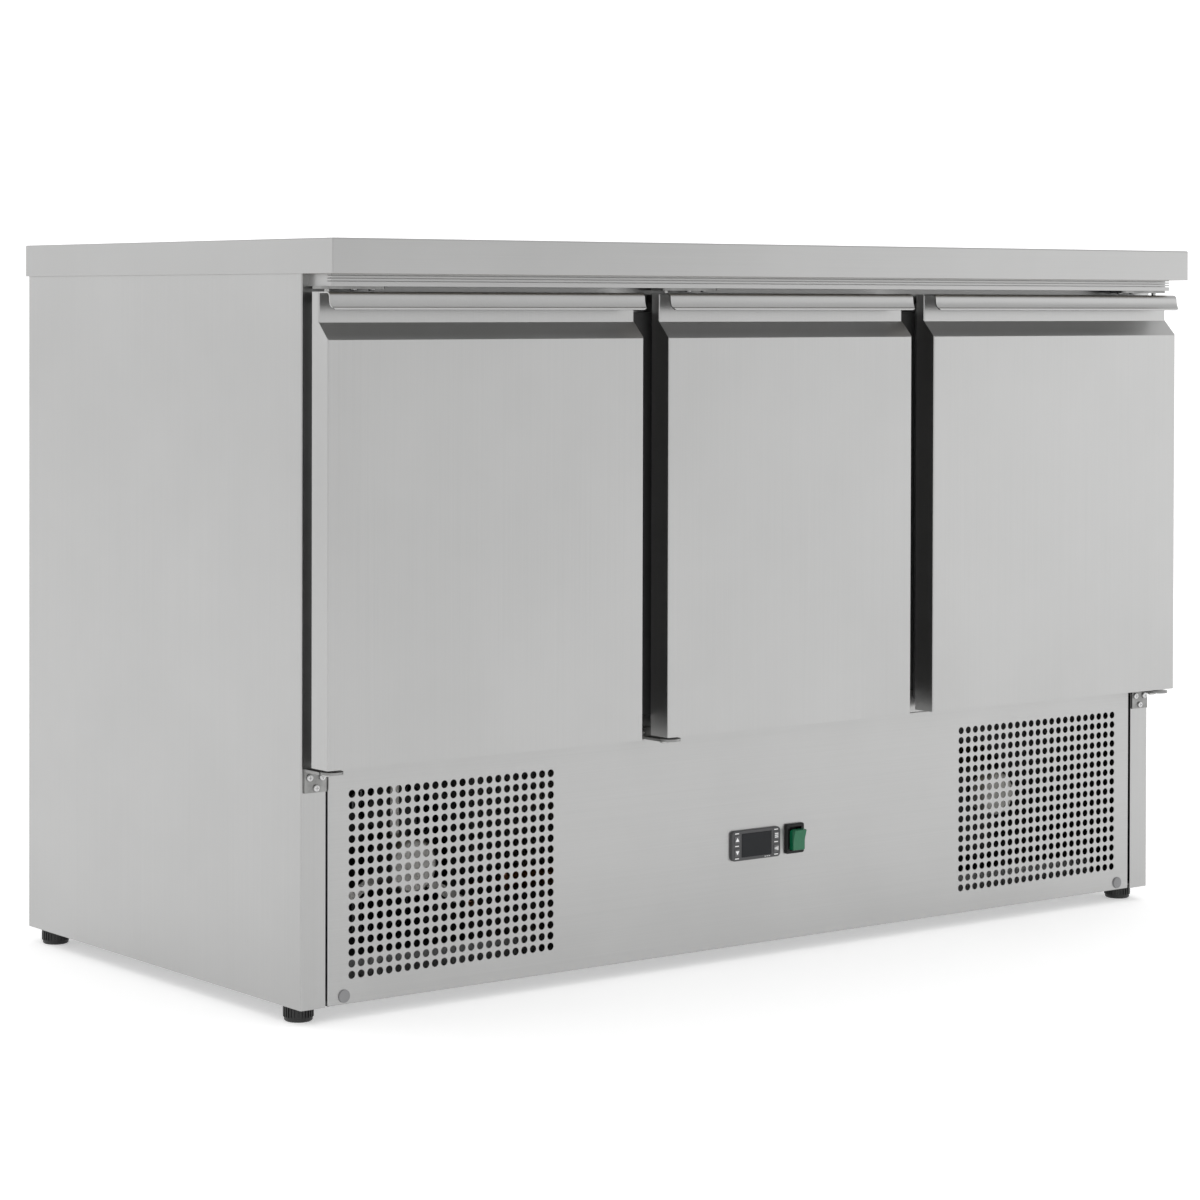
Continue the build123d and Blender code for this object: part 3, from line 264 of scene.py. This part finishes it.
MATERIALS = {
    "worktop_steel": brushed("worktop_steel", tint(STEEL, 0.97), ALONG_X),
    "panel_steel": brushed("panel_steel", STEEL, UPRIGHT, wave=0.0006, painted_shade_limits=PANEL_SHADE_LIMITS),
    "door_steel": brushed("door_steel", STEEL, UPRIGHT, wave=0.0005),
    "fascia_steel": brushed("fascia_steel", STEEL, ALONG_X, wave=0.0004),
    "trim_steel": brushed("trim_steel", tint(STEEL, 0.95), ALONG_X, wave=0.0),
    "frame_steel": brushed("frame_steel", tint(STEEL, 0.95), ALONG_X),
    "liner_steel": brushed("liner_steel", tint(STEEL, 1.05), ANY_WAY, roughness=0.36),
    "bracket_steel": worn_metal("bracket_steel", (0.33, 0.33, 0.325), 0.36, dark=0.6),
    "pin_steel": worn_metal("pin_steel", (0.60, 0.60, 0.59), 0.22),
    "screw_steel": worn_metal("screw_steel", (0.62, 0.62, 0.62), 0.26),
    "galvanised": spangled("galvanised", (0.29, 0.293, 0.295), 0.44),
    "black_metal": worn_metal("black_metal", (0.012, 0.012, 0.0125), 0.45, metallic=0.0, dark=0.6),
    "motor_metal": worn_metal("motor_metal", (0.58, 0.57, 0.55), 0.45),
    "fins": worn_metal("fins", (0.26, 0.265, 0.27), 0.42, grain=500.0),
    "copper": worn_metal("copper", (0.72, 0.33, 0.17), 0.30, dark=0.55),
    "wire": moulded("wire", (0.78, 0.79, 0.79), 0.28, Coat_Weight=0.3),
    "board": moulded("board", (0.24, 0.215, 0.18), 0.8, grain=300.0),
    "foam": moulded("foam", (0.72, 0.62, 0.38), 0.9, grain=400.0, depth=0.0004),
    # On the mullions between the doors this near-black grey is painted shade of the deep gaps they stand
    # in.
    "dark_profile": moulded("dark_profile", (0.055, 0.055, 0.055), 0.45),
    "gasket_rubber": moulded("gasket_rubber", (0.11, 0.11, 0.112), 0.55, grain=1200.0),
    "bush_plastic": moulded("bush_plastic", (0.70, 0.70, 0.67), 0.42),
    "foot_plastic": moulded("foot_plastic", (0.012, 0.012, 0.012), 0.40),
    "grey_plastic": moulded("grey_plastic", (0.235, 0.235, 0.24), 0.50),
    "white_plastic": moulded("white_plastic", (0.78, 0.78, 0.76), 0.30),
    "black_plastic": moulded("black_plastic", (0.006, 0.006, 0.006), 0.30, Specular_IOR_Level=0.25),
    "bezel_plastic": moulded("bezel_plastic", (0.070, 0.070, 0.072), 0.42, Specular_IOR_Level=0.3),
    "key_plastic": moulded("key_plastic", (0.12, 0.12, 0.124), 0.40, Specular_IOR_Level=0.3),
    "display": moulded(
        "display",
        (0.008, 0.009, 0.011),
        0.16,
        spread=0.04,
        depth=0.000004,
        Specular_IOR_Level=0.22,
    ),
    "green_rocker": moulded(
        "green_rocker",
        (0.002, 0.120, 0.050),
        0.12,
        grain=120.0,
        Coat_Weight=0.35,
        Specular_IOR_Level=0.35,
    ),
    "pale_cover": moulded("pale_cover", (0.60, 0.59, 0.56), 0.45),
    "fan_blade": moulded("fan_blade", (0.018, 0.018, 0.018), 0.35),
    "mark_white": moulded("mark_white", (0.80, 0.80, 0.80), 0.5),
}

for row in frame["record"]["subparts"]:
    node = frame["nodes"][row["node"]]
    if not node.material_slots:
        node.data.materials.append(None)
    for material_slot in node.material_slots:
        material_slot.link = "OBJECT"
        material_slot.material = MATERIALS[row["material_slot"]]


# ---------------------------------------------------------------- mesh helpers
def new_object(name, mesh, material_name, body):
    """Put a mesh in the scene with its material, moving with a CAD body."""
    mesh.materials.append(MATERIALS[material_name])
    thing = bpy.data.objects.new(name, mesh)
    bpy.context.scene.collection.objects.link(thing)
    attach(thing, body)
    return thing


def from_faces(name, points, faces, material_name, body, smooth=None):
    """Object from points in millimetres. smooth is the angle up to which edges look rounded."""
    mesh = bpy.data.meshes.new(name)
    mesh.from_pydata([[value * MM for value in point] for point in points], [], faces)
    work = bmesh.new()
    work.from_mesh(mesh)
    bmesh.ops.remove_doubles(work, verts=work.verts, dist=1e-6)
    bmesh.ops.recalc_face_normals(work, faces=work.faces)
    work.to_mesh(mesh)
    work.free()
    if smooth is not None:
        mesh.shade_smooth()
        mesh.set_sharp_from_angle(angle=math.radians(smooth))
    return new_object(name, mesh, material_name, body)


# ---------------------------------------------------------------- lower fascia
FASCIA_HALF = 643.5
FASCIA_ZS = (18.5, 284.0)
FASCIA_FRONT = -283.0
FASCIA_RETURN = 14.0
FASCIA_FOLD = 1.0
SHEET = 1.0
HOLE_PITCH = 12.7
HOLE_RADIUS = 4.55
HOLE_COLUMNS = 23
HOLE_ROWS = 17
GRILLE_X = 471.8
GRILLE_Z = 152.3
HOLE_SIDES = 24
CONTROL_HOLE = ((-53.5, 17.5), (127.0, 156.0))
SWITCH_HOLE = ((33.0, 58.0), (125.5, 159.5))


def grille_lines(centre, count):
    """Lines between the holes of a grille, one more than the holes."""
    start = centre - count * HOLE_PITCH / 2
    return [start + index * HOLE_PITCH for index in range(count + 1)]


def pierced_cell(points, faces, xs, zs):
    """Square cell with a round hole, as four pieces round the circle."""
    first = len(points)
    y = FASCIA_FRONT
    points += [(xs[1], y, zs[0]), (xs[1], y, zs[1]), (xs[0], y, zs[1]), (xs[0], y, zs[0])]
    centre_x = sum(xs) / 2
    centre_z = sum(zs) / 2
    for index in range(HOLE_SIDES):
        angle = math.radians(-45) + 2 * math.pi * index / HOLE_SIDES
        x = centre_x + HOLE_RADIUS * math.cos(angle)
        z = centre_z + HOLE_RADIUS * math.sin(angle)
        points.append((x, y, z))
    quarter = HOLE_SIDES // 4
    for side in range(4):
        rim = [first + 4 + (side * quarter + step) % HOLE_SIDES for step in range(quarter, -1, -1)]
        faces.append((first + side, first + (side + 1) % 4, *rim))


def fascia_sheet():
    """Front cover with round holes, window edges and folded returns."""
    points = []
    faces = []
    row_edges = grille_lines(GRILLE_Z, HOLE_ROWS)
    grilles = [grille_lines(side * GRILLE_X, HOLE_COLUMNS) for side in (-1, 1)]
    z_ends = (FASCIA_ZS[0] + FASCIA_FOLD, FASCIA_ZS[1] - FASCIA_FOLD)
    x_ends = (FASCIA_FOLD - FASCIA_HALF, FASCIA_HALF - FASCIA_FOLD)
    z_lines = sorted({*z_ends, *CONTROL_HOLE[1], *SWITCH_HOLE[1], *row_edges})
    x_lines = sorted({*x_ends, *CONTROL_HOLE[0], *SWITCH_HOLE[0], *grilles[0], *grilles[1]})
    for columns in grilles:
        for xs in zip(columns, columns[1:]):
            for zs in zip(row_edges, row_edges[1:]):
                pierced_cell(points, faces, xs, zs)
    for x0, x1 in zip(x_lines, x_lines[1:]):
        for z0, z1 in zip(z_lines, z_lines[1:]):
            middle = ((x0 + x1) / 2, (z0 + z1) / 2)
            if is_plain(middle, row_edges, grilles):
                first = len(points)
                y = FASCIA_FRONT
                points += [(x0, y, z0), (x1, y, z0), (x1, y, z1), (x0, y, z1)]
                faces.append((first, first + 1, first + 2, first + 3))
    add_returns(points, faces, x_lines, z_lines)
    sheet = from_faces("fascia_sheet", points, faces, "fascia_steel", "cabinet")
    thicken = sheet.modifiers.new("thickness", "SOLIDIFY")
    thicken.thickness = SHEET * MM
    thicken.offset = -1.0
    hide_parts("fascia")


def is_plain(middle, row_edges, grilles):
    """Whether a patch of the sheet lies outside both grilles and both windows."""
    x, z = middle
    for lines in grilles:
        if lines[0] < x < lines[-1] and row_edges[0] < z < row_edges[-1]:
            return False
    for xs, zs in (CONTROL_HOLE, SWITCH_HOLE):
        if xs[0] < x < xs[1] and zs[0] < z < zs[1]:
            return False
    return True


def add_returns(points, faces, x_lines, z_lines):
    """Small folded corner and the return behind it on all four edges."""
    ys = (FASCIA_FRONT, FASCIA_FRONT + FASCIA_FOLD, FASCIA_FRONT + SHEET + FASCIA_RETURN)
    for side in (-1, 1):
        edge_x = side * FASCIA_HALF
        near_x = edge_x - side * FASCIA_FOLD
        for z0, z1 in zip(z_lines, z_lines[1:]):
            for pair in (((near_x, ys[0]), (edge_x, ys[1])), ((edge_x, ys[1]), (edge_x, ys[2]))):
                first = len(points)
                points += [(*pair[0], z0), (*pair[1], z0), (*pair[1], z1), (*pair[0], z1)]
                faces.append((first, first + 1, first + 2, first + 3))
        edge_z = FASCIA_ZS[0] if side < 0 else FASCIA_ZS[1]
        near_z = edge_z - side * FASCIA_FOLD
        for x0, x1 in zip(x_lines, x_lines[1:]):
            for pair in (((ys[0], near_z), (ys[1], edge_z)), ((ys[1], edge_z), (ys[2], edge_z))):
                first = len(points)
                points += [(x0, *pair[0]), (x0, *pair[1]), (x1, *pair[1]), (x1, *pair[0])]
                faces.append((first, first + 1, first + 2, first + 3))


fascia_sheet()


# ---------------------------------------------------------------- top trim
TRIM_HALF = 670.0
TRIM_FRONT = -327.5
TRIM_BACK = -283.0
TRIM_ZS = (822.0, 836.0)
TRIM_SLOTS = ((833.4, 834.6), (830.2, 831.4), (827.0, 828.2))
SLOT_DEPTH = 7.0


def trim_strip():
    """Strip under the worktop with three narrow, deep slots along its front."""
    bottom, top = TRIM_ZS
    floor_y = TRIM_FRONT + SLOT_DEPTH
    section = [(TRIM_FRONT, bottom), (TRIM_BACK, bottom), (TRIM_BACK, top), (TRIM_FRONT, top)]
    for low, high in TRIM_SLOTS:
        section += [(TRIM_FRONT, high), (floor_y, high), (floor_y, low), (TRIM_FRONT, low)]
    count = len(section)
    points = [(x, y, z) for x in (-TRIM_HALF, TRIM_HALF) for y, z in section]
    faces = [tuple(range(count)), tuple(range(2 * count - 1, count - 1, -1))]
    for index in range(count):
        step = (index + 1) % count
        faces.append((index, step, count + step, count + index))
    strip = from_faces("trim_strip", points, faces, "trim_steel", "cabinet")
    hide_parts("top_trim")


trim_strip()


# ---------------------------------------------------------------- door seals
DOORS = {"left": (-677.0, -234.0), "middle": (-196.0, 196.0), "right": (234.0, 677.0)}
DOOR_ZS = (290.0, 816.0)
DOOR_BACK = -300.5
SEAL_INSET = 11.5
# Section of a seal: distance in from its outer edge, then distance behind the door's back.
SEAL_INNER_SIDE = [(13, 0.3), (13, 2.5), (10.5, 4), (13.5, 6), (10.5, 8), (15, 9.5)]
SEAL_MAGNET_POCKET = [(15.8, 10.6), (15.8, 15.2), (14.8, 16.6), (1.2, 16.6), (0.2, 15.2), (0.2, 10.6)]
SEAL_OUTER_SIDE = [(1, 9.5), (5, 8), (2.5, 6), (5, 4), (3, 2.5), (3, 0.3)]
SEAL_SECTION = [SEAL_OUTER_SIDE[-1], *SEAL_INNER_SIDE, *SEAL_MAGNET_POCKET, *SEAL_OUTER_SIDE[:-1]]


def door_seal(name, xs):
    """Bellows seal mitred round the back of a door."""
    points = []
    faces = []
    count = len(SEAL_SECTION)
    for corner in range(4):
        for inward, depth in SEAL_SECTION:
            inset = SEAL_INSET + inward
            x = xs[0] + inset if corner in (0, 3) else xs[1] - inset
            z = DOOR_ZS[0] + inset if corner < 2 else DOOR_ZS[1] - inset
            points.append((x, DOOR_BACK + depth, z))
    for corner in range(4):
        here = corner * count
        there = (corner + 1) % 4 * count
        for index in range(count):
            step = (index + 1) % count
            faces.append((here + index, there + index, there + step, here + step))
    seal = from_faces(f"door_{name}_seal", points, faces, "gasket_rubber", f"door_{name}", smooth=50)
    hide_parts(f"door_{name}_gasket")


for door_name, door_xs in DOORS.items():
    door_seal(door_name, door_xs)


# ---------------------------------------------------------------- wire shelves
SHELF_X = 454.5
SHELF_HALF = 162.5
SHELF_YS = (-246.0, 284.0)
SHELF_Z = 540.0
RIM_RADIUS = 3.0
RIM_CORNER = 9.0
WIRE_RADIUS = 1.6
WIRE_COUNT = 13
WIRE_SINK = 0.4
WIRE_END = 1.0


def rounded_loop(xs, ys, radius, steps=6):
    """Points round a rectangle with rounded corners, in steps round each corner."""
    loop = []
    corners = [(xs[1], ys[0], -90), (xs[1], ys[1], 0), (xs[0], ys[1], 90), (xs[0], ys[0], 180)]
    for x, y, start in corners:
        centre_x = x - math.copysign(radius, x - sum(xs) / 2)
        centre_y = y - math.copysign(radius, y - sum(ys) / 2)
        for step in range(steps + 1):
            angle = math.radians(start + 90 * step / steps)
            loop.append((centre_x + radius * math.cos(angle), centre_y + radius * math.sin(angle)))
    return loop


def add_wire(curve, points, thickness, cyclic=False):
    """Straight-sided spline through points in millimetres."""
    spline = curve.splines.new("POLY")
    spline.points.add(len(points) - 1)
    for target, point in zip(spline.points, points):
        target.co = (*(value * MM for value in point), 1)
        target.radius = thickness
    spline.use_cyclic_u = cyclic


def wire_shelf(name, centre_x):
    """Welded shelf: a rounded rim, two cross bars and thin wires laid over them."""
    curve = bpy.data.curves.new(name, "CURVE")
    curve.dimensions = "3D"
    curve.bevel_depth = 1.0 * MM
    curve.bevel_resolution = 3
    curve.use_fill_caps = True
    xs = (centre_x - SHELF_HALF + RIM_RADIUS, centre_x + SHELF_HALF - RIM_RADIUS)
    ys = (SHELF_YS[0] + RIM_RADIUS, SHELF_YS[1] - RIM_RADIUS)
    rim = [(x, y, SHELF_Z) for x, y in rounded_loop(xs, ys, RIM_CORNER)]
    add_wire(curve, rim, RIM_RADIUS, cyclic=True)
    for third in (1, 2):
        y = SHELF_YS[0] + (SHELF_YS[1] - SHELF_YS[0]) * third / 3
        add_wire(curve, [(xs[0], y, SHELF_Z), (xs[1], y, SHELF_Z)], RIM_RADIUS)
    wire_z = SHELF_Z + RIM_RADIUS + WIRE_RADIUS - WIRE_SINK
    wire_ys = (SHELF_YS[0] + WIRE_END, SHELF_YS[1] - WIRE_END)
    for index in range(WIRE_COUNT):
        x = centre_x - SHELF_HALF + 2 * SHELF_HALF * (index + 1) / (WIRE_COUNT + 1)
        add_wire(curve, [(x, y, wire_z) for y in wire_ys], WIRE_RADIUS)
    curve.materials.append(MATERIALS["wire"])
    shelf = bpy.data.objects.new(name, curve)
    bpy.context.scene.collection.objects.link(shelf)
    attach(shelf, "cabinet")
    return shelf


SHELF_PLACES = {"left": -SHELF_X, "middle": 0.0, "right": SHELF_X}
shelves = [wire_shelf(f"shelf_{side}", x) for side, x in SHELF_PLACES.items()]
for shelf in shelves:
    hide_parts("wire_shelves")


# ---------------------------------------------------------------- controls
CONTROL_X = -18.0
CONTROL_Z = 141.5
BEZEL_FRONT = -287.0
KEY_FRONT = -287.9
KEY_COLUMN = 31.5
KEY_ROW = 8.0
MARK_HEIGHT = 0.12
MARK_ROOT = 0.02
ARROW_HALF_WIDTH = 2.9
ARROW_BASE = 2.2
ARROW_TIP = 2.6
LONG_BAR = (3.0, 0.6)
SHORT_BAR = (2.8, 0.6)
DOT = (1.0, 0.4)
BAR_ROW = 15.3
DOT_ROW = -16.2


def plate(outline, surface):
    """Points and faces of a thin raised patch with its outline in X and Z."""
    count = len(outline)
    points = [(x, surface + MARK_ROOT, z) for x, z in outline]
    points += [(x, surface - MARK_HEIGHT, z) for x, z in outline]
    faces = [tuple(count + index for index in range(count))]
    for index in range(count):
        step = (index + 1) % count
        faces.append((index, step, count + step, count + index))
    return points, faces


def bar(x, z, half_width, half_height, surface):
    """Raised rectangular patch about a point."""
    xs = (x - half_width, x + half_width)
    zs = (z - half_height, z + half_height)
    return plate([(xs[0], zs[0]), (xs[1], zs[0]), (xs[1], zs[1]), (xs[0], zs[1])], surface)


def add_marks(name, plates, body):
    """One object for all the marks that move with a body."""
    points = []
    faces = []
    for plate_points, plate_faces in plates:
        first = len(points)
        points += plate_points
        faces += [tuple(first + corner for corner in face) for face in plate_faces]
    marks = from_faces(name, points, faces, "mark_white", body)


def arrow(x, z, direction):
    """Triangle that points up or down."""
    base_z = z - direction * ARROW_BASE
    base = [(x - ARROW_HALF_WIDTH, base_z), (x + ARROW_HALF_WIDTH, base_z)]
    return plate([*base, (x, z + direction * ARROW_TIP)], KEY_FRONT)


def printed_marks():
    """Small raised white marks on and beside the keys: arrows, bars and dots."""
    left = CONTROL_X - KEY_COLUMN
    right = CONTROL_X + KEY_COLUMN
    upper = CONTROL_Z + KEY_ROW
    lower = CONTROL_Z - KEY_ROW
    lines = [bar(right, upper + 2.2 * row, *SHORT_BAR, KEY_FRONT) for row in (1, 0, -1)]
    steps = [bar(right - 2.4 + 1.6 * step, lower, 0.5, 1.0 + 0.5 * step, KEY_FRONT) for step in range(4)]
    add_marks("marks_left_upper", [arrow(left, upper, 1)], "key_left_upper")
    add_marks("marks_left_lower", [arrow(left, lower, -1)], "key_left_lower")
    add_marks("marks_right_upper", lines, "key_right_upper")
    add_marks("marks_right_lower", steps, "key_right_lower")
    bar_zs = (CONTROL_Z + BAR_ROW, CONTROL_Z, CONTROL_Z - BAR_ROW)
    beside = [bar(x, z, *LONG_BAR, BEZEL_FRONT) for x in (left, right) for z in bar_zs]
    dot_xs = [CONTROL_X + 14 + 3.2 * dot for dot in range(3)]
    below = [bar(x, CONTROL_Z + DOT_ROW, *DOT, BEZEL_FRONT) for x in dot_xs]
    add_marks("marks_bezel", beside + below, "cabinet")


printed_marks()


# ---------------------------------------------------------------- back panel rivets
RIVET_X = 671.0
RIVET_ZS = [60.0 + 120.0 * row for row in range(7)]
RIVET_RADIUS = 3.2
RIVET_HEIGHT = 1.2
HEM_BACK = 347.0


def rivet_heads():
    """Domed rivets along the hems that hold the back panel."""
    work = bmesh.new()
    squash = Matrix.Diagonal((1.0, RIVET_HEIGHT / RIVET_RADIUS, 1.0, 1.0))
    radius = RIVET_RADIUS * MM
    for side in (-1, 1):
        for z in RIVET_ZS:
            ball = Matrix.Translation((side * RIVET_X * MM, HEM_BACK * MM, z * MM)) @ squash
            bmesh.ops.create_uvsphere(work, u_segments=20, v_segments=10, radius=radius, matrix=ball)
    hidden = [vertex for vertex in work.verts if vertex.co.y < (HEM_BACK - 0.05) * MM]
    bmesh.ops.delete(work, geom=hidden, context="VERTS")
    mesh = bpy.data.meshes.new("rivet_heads")
    work.to_mesh(mesh)
    work.free()
    mesh.shade_smooth()
    rivets = new_object("rivet_heads", mesh, "screw_steel", "cabinet")


rivet_heads()


# ---------------------------------------------------------------- studio
FLOOR_NEAR = -12.0
FLOOR_FAR = 9.0
CURVE_RADIUS = 3.0
CURVE_STEPS = 12
WALL_TOP = 9.0
FLOOR_HALF_WIDTH = 14.0


def backdrop():
    """Pale floor that curves up into a wall far behind the cabinet."""
    paint = Paint("backdrop", Roughness=0.9, Emission_Color=(1, 1, 1, 1), Emission_Strength=0.40)
    grain = paint.noise((30, 30, 30))
    paint.colour(paint.blend(grain, (0.90, 0.90, 0.90), (0.92, 0.92, 0.92)))
    profile = [(FLOOR_NEAR, 0.0), (FLOOR_FAR, 0.0)]
    for step in range(1, CURVE_STEPS + 1):
        angle = math.pi / 2 * step / CURVE_STEPS
        along = FLOOR_FAR + CURVE_RADIUS * math.sin(angle)
        profile.append((along, CURVE_RADIUS - CURVE_RADIUS * math.cos(angle)))
    profile.append((FLOOR_FAR + CURVE_RADIUS, WALL_TOP))
    turn = Matrix.Rotation(math.radians(CAMERA_YAW), 3, "Z")
    points = []
    for side in (-FLOOR_HALF_WIDTH, FLOOR_HALF_WIDTH):
        points += [turn @ Vector((side, along, height)) for along, height in profile]
    count = len(profile)
    faces = [(index, index + 1, count + index + 1, count + index) for index in range(count - 1)]
    mesh = bpy.data.meshes.new("backdrop")
    mesh.from_pydata(points, [], faces)
    mesh.materials.append(paint.material)
    mesh.shade_smooth()
    floor = bpy.data.objects.new("backdrop", mesh)
    bpy.context.scene.collection.objects.link(floor)


def area_light(name, place, aim, size, power):
    """Rectangular lamp turned towards a point and hidden from the camera."""
    data = bpy.data.lights.new(name, "AREA")
    data.shape = "RECTANGLE"
    data.size, data.size_y = size
    data.energy = power
    light = bpy.data.objects.new(name, data)
    bpy.context.scene.collection.objects.link(light)
    light.visible_camera = False
    light.location = place
    direction = Vector(aim) - Vector(place)
    light.rotation_euler = direction.to_track_quat("-Z", "Y").to_euler()


def studio():
    """Even white surroundings and two large, weak lamps."""
    world = bpy.data.worlds.new("studio")
    world.use_nodes = True
    background = world.node_tree.nodes["Background"]
    background.inputs["Color"].default_value = (1.0, 1.0, 1.0, 1)
    background.inputs["Strength"].default_value = 0.87
    bpy.context.scene.world = world
    area_light("rear_left", (-3.7, 5.2, 1.9), (-0.6, 0, 0.6), (3.0, 2.4), 10)
    area_light("front_right", (5.0, -3.9, 1.3), (0.4, -0.3, 0.5), (2.6, 2.6), 12)


backdrop()
studio()
